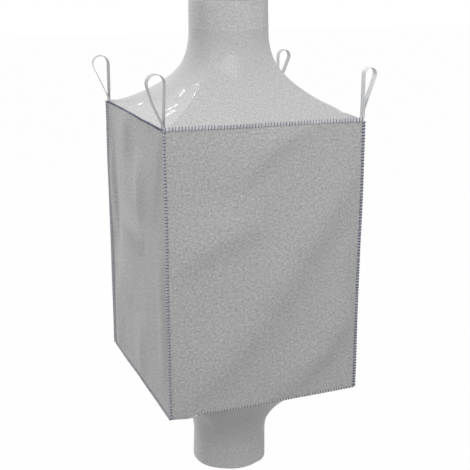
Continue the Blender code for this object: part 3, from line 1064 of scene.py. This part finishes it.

# %% [markdown]
# The thread is navy and twisted from finer strands. A stripe that runs aslant round each strand, in its
# relief and in its colour, gives that twist; the colour is lighter on the ridges and darker in the
# grooves, which is painted highlight and shade. Modelling the fine strands would cost a great many faces
# for something a millimetre or two thick.

# %% Thread finish
THREAD_COLOUR = (0.016, 0.026, 0.115)
TWIST_PITCH, TWIST_SLANT = 0.0016, 1.3
TWIST_PAINTED_SHADE, TWIST_RELIEF, TWIST_DEPTH = 0.22, 0.5, 0.0003
THREAD_ROUGHNESS, THREAD_SHEEN = 0.6, 0.15


def thread_finish(name):
    made, tree, shader = new_finish(name)
    flat, across, along = flat_cloth(tree)
    turned = calc(tree, "MULTIPLY_ADD", across, TWIST_SLANT, along)
    twist = calc(tree, "SINE", calc(tree, "MULTIPLY", turned, 2 * pi / TWIST_PITCH))
    # The colour follows the twist's relief: painted highlight on the ridges and painted shade in the
    # grooves.
    tint_shader(tree, shader, THREAD_COLOUR, calc(tree, "MULTIPLY_ADD", twist, TWIST_PAINTED_SHADE, 1.0))
    emboss_shader(tree, shader, twist, TWIST_RELIEF, TWIST_DEPTH)
    shader.inputs["Roughness"].default_value = THREAD_ROUGHNESS
    shader.inputs["Sheen Weight"].default_value = THREAD_SHEEN
    return made


NAVY_THREAD = thread_finish("navy_thread")
print("thread finish:", NAVY_THREAD.name)

# %% [markdown]
# Overlock thread goes round the fin: across one face on a slant, over the free edge, back across the
# other face, and on to the next stitch. Two strands lie side by side in each stitch. Drawn as a pattern
# they would vanish at the edge, so every strand is a small bent tube, and the seam shows its ladder of
# dark bars from any side.

# %% Stitches
STRAND, STRAND_SIDES = 0.0005, 6
STRAND_GAP = 0.0012
STITCH_JITTER = 0.0007
SLANT = 0.0018
LEAST_LIFT = 0.4
# Shift along the seam as a share of the slant, distance out from the edge line, and lift off the fin.
STITCH_SIDE = np.array([(-0.7, -0.0042, 0.0062), (-0.4, -0.0002, 0.0030), (0.0, 0.0045, 0.0022),
                        (0.45, 0.0092, 0.0019)])
STITCH_TIP = (0.5, 0.0113, 0.0)
STITCH_TRACK = np.vstack([STITCH_SIDE * (1, 1, -1), STITCH_TIP, STITCH_SIDE[::-1]])
STRAND_ANGLES = np.arange(STRAND_SIDES) * 2 * pi / STRAND_SIDES
STRAND_OUTLINE = STRAND * np.array([(cos(t), sin(t)) for t in STRAND_ANGLES])


def stitch_places(seam):
    """Where the strands lie along the seam: two beside each other in every stitch."""
    first = seam.start + seam.bare
    count = round((seam.end - first) / STITCH_PITCH)
    middles = first + (np.arange(count) + 0.5) * (seam.end - first) / count
    middles = middles + np.random.default_rng(count).normal(0, STITCH_JITTER, count)
    apart = seam.thread * STRAND_GAP / 2
    return np.concatenate([middles - apart, middles + apart])


def stitch_rings(seam):
    """A small tube for each strand, bent round the fin."""
    slant, rise, lift = STITCH_TRACK.T
    rise = rise * np.where(rise > 0, seam.width, 1)
    lift = lift * (LEAST_LIFT + (1 - LEAST_LIFT) * min(seam.width, 1))
    place, along, out, face = seam.frame(stitch_places(seam)[:, None] + SLANT * slant)
    centre = place + out * rise[:, None] + face * lift[:, None]
    heading = unit(np.gradient(centre, axis=1))
    across = unit(along - heading * (along * heading).sum(-1, keepdims=True))
    rings = sweep_outline(centre, across, np.cross(heading, across), seam.thread * STRAND_OUTLINE)
    return rings, path_flat(centre, STRAND_OUTLINE)


THREADS = {}
strands = 0
for name, seam in SEAMS.items():
    rings, flat = stitch_rings(seam)
    strands += len(rings)
    mesh = swept_mesh(f"{name}_thread", rings, flat)
    THREADS[name] = add_piece(f"{name}_thread", mesh, NAVY_THREAD)
    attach(THREADS[name], "bag")
print("stitches:", strands // 2)

# %% [markdown]
# Each lifting loop is one strap of webbing, a dense narrow weave with ribs along its length. The finish
# draws the ribs and the picks between them over the strap's flat coordinates as lighter and darker
# stripes, which are painted shade of the weave, with faint blotches, because so fine a weave would be
# lost in a mesh. The front right strap is paler in the picture than the others, so it has a copy of the
# webbing painted paler, which is painted light on that strap.

# %% Webbing finish
STRAP_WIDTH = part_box("lifting_loop_front_left")[1].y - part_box("lifting_loop_front_left")[0].y
RIBS = 7
PICK_PITCH, PICK_BEND, PICK_SHARE = 0.0032, 0.0006, 0.3
WEAVE_PAINTED_SHADE = 0.05
WEBBING_BLOTCHES, BLOTCH_DETAIL, BLOTCH_SHADE = 140.0, 3.0, 0.14
WEBBING_ROUGHNESS, WEBBING_SHEEN = 0.55, 0.1


def webbing_finish(name, colour):
    made, tree, shader = new_finish(name)
    flat, across, along = flat_cloth(tree)
    rib = calc(tree, "SINE", calc(tree, "MULTIPLY", across, 2 * pi * RIBS / STRAP_WIDTH))
    pick_place = calc(tree, "MULTIPLY_ADD", rib, PICK_BEND, along)
    pick = calc(tree, "SINE", calc(tree, "MULTIPLY", pick_place, 2 * pi / PICK_PITCH))
    weave = calc(tree, "MULTIPLY_ADD", pick, PICK_SHARE, rib)
    blotch = clouds(tree, flat, WEBBING_BLOTCHES, BLOTCH_DETAIL)
    faint = calc(tree, "MULTIPLY_ADD", blotch, BLOTCH_SHADE, 1 - BLOTCH_SHADE / 2)
    # The ribs and picks lighten and darken the colour: painted shade of the weave.
    tint_shader(tree, shader, colour, calc(tree, "MULTIPLY_ADD", weave, WEAVE_PAINTED_SHADE, faint))
    shader.inputs["Roughness"].default_value = WEBBING_ROUGHNESS
    shader.inputs["Sheen Weight"].default_value = WEBBING_SHEEN
    return made


WEBBING = webbing_finish("webbing", (0.41, 0.415, 0.425))
# A copy of the webbing painted paler, for the front right strap: painted light on that strap.
PAINTED_LIGHT_WEBBING = webbing_finish("painted_light_webbing", (0.66, 0.665, 0.675))
print("webbing", round(STRAP_WIDTH * 1000), "mm wide")

# %% [markdown]
# Both ends of a strap are sewn inside the corner. Above it they leave the seam together, part, and meet
# over a round crown. That line is drawn in one plane: two straight legs, an arc that just touches both,
# and a little smoothing where they part. A hand-drawn curve would need its points moved for every corner.

# %% Line of a strap
STRAP_THICKNESS = 0.003
STEM = 0.037
TAIL = 0.245
LEG_FOOT = 0.02
SPLIT_EASE = 0.006
CROWN_POINTS = 24
STRAP_STEP = 0.004
SMOOTHINGS = 3
STRAP_POINTS = 31
RIB_MIDDLE, RIB_DEPTH = 0.0013, 0.00008
EDGE_START, EDGE_HALF = 0.47, 0.0008


def strap_line(crown_height, crown_radius, lean, stem):
    """The middle of the strap in its own plane: outboard and up from the fold, from tail to tail."""
    half = STRAP_THICKNESS / 2
    tilt = atan2(lean, crown_height - stem)
    spread = asin(crown_radius / np.hypot(lean, crown_height - stem))
    angles = np.linspace(pi - (tilt - spread), -(tilt + spread), CROWN_POINTS)
    radius = crown_radius + half
    crown = np.stack([lean + radius * np.cos(angles), crown_height + radius * np.sin(angles)], -1)
    leg = np.array([(-half, -TAIL), (-half, -LEG_FOOT), (-half, stem - SPLIT_EASE)])
    rough = np.vstack([leg, crown, leg[::-1] * (-1, 1)])
    reach = np.concatenate([[0], np.cumsum(np.linalg.norm(np.diff(rough, axis=0), axis=1))])
    even = np.arange(0, reach[-1], STRAP_STEP)
    line = np.stack([np.interp(even, reach, rough[:, axis]) for axis in (0, 1)], -1)
    for turn in range(SMOOTHINGS):
        line[1:-1] = (line[:-2] + 2 * line[1:-1] + line[2:]) / 4
    return line, even / reach[-1]


def strap_outline():
    """The strap's end view: shallow ribs along both faces, and thinner edges."""
    across = np.linspace(-0.5, 0.5, STRAP_POINTS)
    half = RIB_MIDDLE + RIB_DEPTH * np.cos(2 * pi * RIBS * across)
    half = np.where(np.abs(across) > EDGE_START, EDGE_HALF, half)
    face = np.stack([across * STRAP_WIDTH, half], -1)
    return np.vstack([face, face[::-1] * (1, -1)])


print("strap outline of", len(strap_outline()), "points")

# %% [markdown]
# No two loops hang alike: each has its own crown, lean and turn, and some part lower, stand a little
# aside or bow. These are set for each corner, from the picture. The strap is swept along its line with
# its width turned as it goes.

# %% Make the four straps
# The turns are those of stem, inner leg, crown and outer leg, in degrees. The shift is along X and Y.
STRAP_LOOKS = {
    "front_left": dict(turns=(0, 3, 0, 1), crown_radius=0.036, lift=0.010, lean=0.028,
                       stem=0.020, bow=0.005),
    "front_right": dict(turns=(4, 5, 5, 5), crown_radius=0.026, lift=-0.002, lean=0.0255,
                        shift=(0.005, -0.013)),
    "back_left": dict(turns=(0, -6, 8, 13), crown_radius=0.036, lift=0.001, lean=0.0345,
                      stem=0.020, shift=(-0.0055, 0.0)),
    "back_right": dict(turns=(4, 5, 3, 1), crown_radius=0.029, lift=-0.006, lean=0.0295,
                       shift=(-0.010, 0.0)),
}
TURN_SHARES = (0.42, 0.52, 0.66)
TURN_START, TURN_LENGTH = STEM * 0.4, 0.05
TAIL_INSET = 0.006
TAIL_EASE = 0.03
BEND_BELOW, BEND_ABOVE = 0.008, 0.022
JOINTS = {joint["name"]: joint for joint in frame["joints"]}


def strap_rings(fold, top, outboard, turns, crown_radius, lift, lean, stem=STEM, bow=0.0, shift=(0, 0)):
    """Rings of one strap, whose crown reaches the height top and is then lifted."""
    crown_height = top - fold.z - STRAP_THICKNESS - crown_radius + lift
    line, shares = strap_line(crown_height, crown_radius, lean, stem)
    rise = np.clip((line[:, 1] - stem) / (crown_height - stem), 0, 1)
    outer = np.arange(len(line)) > len(line) / 2
    line[:, 0] += outer * bow * np.sin(pi * rise) ** 2
    free = smooth_step((line[:, 1] - TURN_START) / TURN_LENGTH)
    angle = np.interp(shares, TURN_SHARES, turns[1:])
    angle = np.radians(turns[0] + (angle - turns[0]) * free)
    above = smooth_step((line[:, 1] + TAIL_EASE) / TAIL_EASE)
    across = fold.x + outboard * (line[:, 0] - TAIL_INSET * (1 - above)) + shift[0] * above
    centre = np.stack([across, fold.y + shift[1] * above, fold.z + line[:, 1]], -1)
    heading = unit(np.gradient(centre, axis=0))
    wide = np.stack([np.sin(angle), np.cos(angle), 0 * angle], -1)
    wide = unit(wide - heading * (wide * heading).sum(1, keepdims=True))
    outline = strap_outline()
    rings = sweep_outline(centre, wide, np.cross(heading, wide), outline)
    return rings[None], path_flat(centre[None], outline)


lengths = {}
for depth in ("front", "back"):
    for side in ("left", "right"):
        name = f"{depth}_{side}"
        fold = Vector(JOINTS[f"loop_{name}_fold"]["pos_m"])
        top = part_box(f"lifting_loop_{name}")[1].z
        rings, flat = strap_rings(fold, top, SIGN[side], **STRAP_LOOKS[name])
        mesh = swept_mesh(f"strap_{name}", rings, flat)
        nodes = [f"lifting_loop_{name}", f"loop_tail_{name}"]
        # The front right strap takes the webbing painted paler, as painted light.
        finish = PAINTED_LIGHT_WEBBING if name == "front_right" else WEBBING
        made = add_piece(f"strap_{name}", mesh, finish, nodes)
        start, stop = fold - Vector((0, 0, BEND_BELOW)), fold + Vector((0, 0, BEND_ABOVE))
        tuple(start)
        tuple(stop)
        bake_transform(made)
        lengths[name] = round(float(flat[0, -1, 0, 1]), 2)
print("strap lengths:", lengths)

# %% [markdown]
# A cone is cut from a square blank and has no simple flat shape, so its area is measured from its faces.


def cloth_area(piece):
    return sum(face.area for face in piece.data.polygons)


for level, cone in CONES.items():
    cloth_area(cone)
print("cone cloth", {level: round(cloth_area(cone), 3) for level, cone in CONES.items()}, "square metres")

# %% [markdown]
# The boxes round the solids and round the dressed bag are gathered, and the second is printed.
# The dressed bag has to stay about as large as the solids it covers.

# %% Gather both boxes
boxes = {"cad": [list(c) for c in cad_box], "visual": [list(c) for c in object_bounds()]}
print("visual box", [[round(x, 3) for x in c] for c in boxes["visual"]])
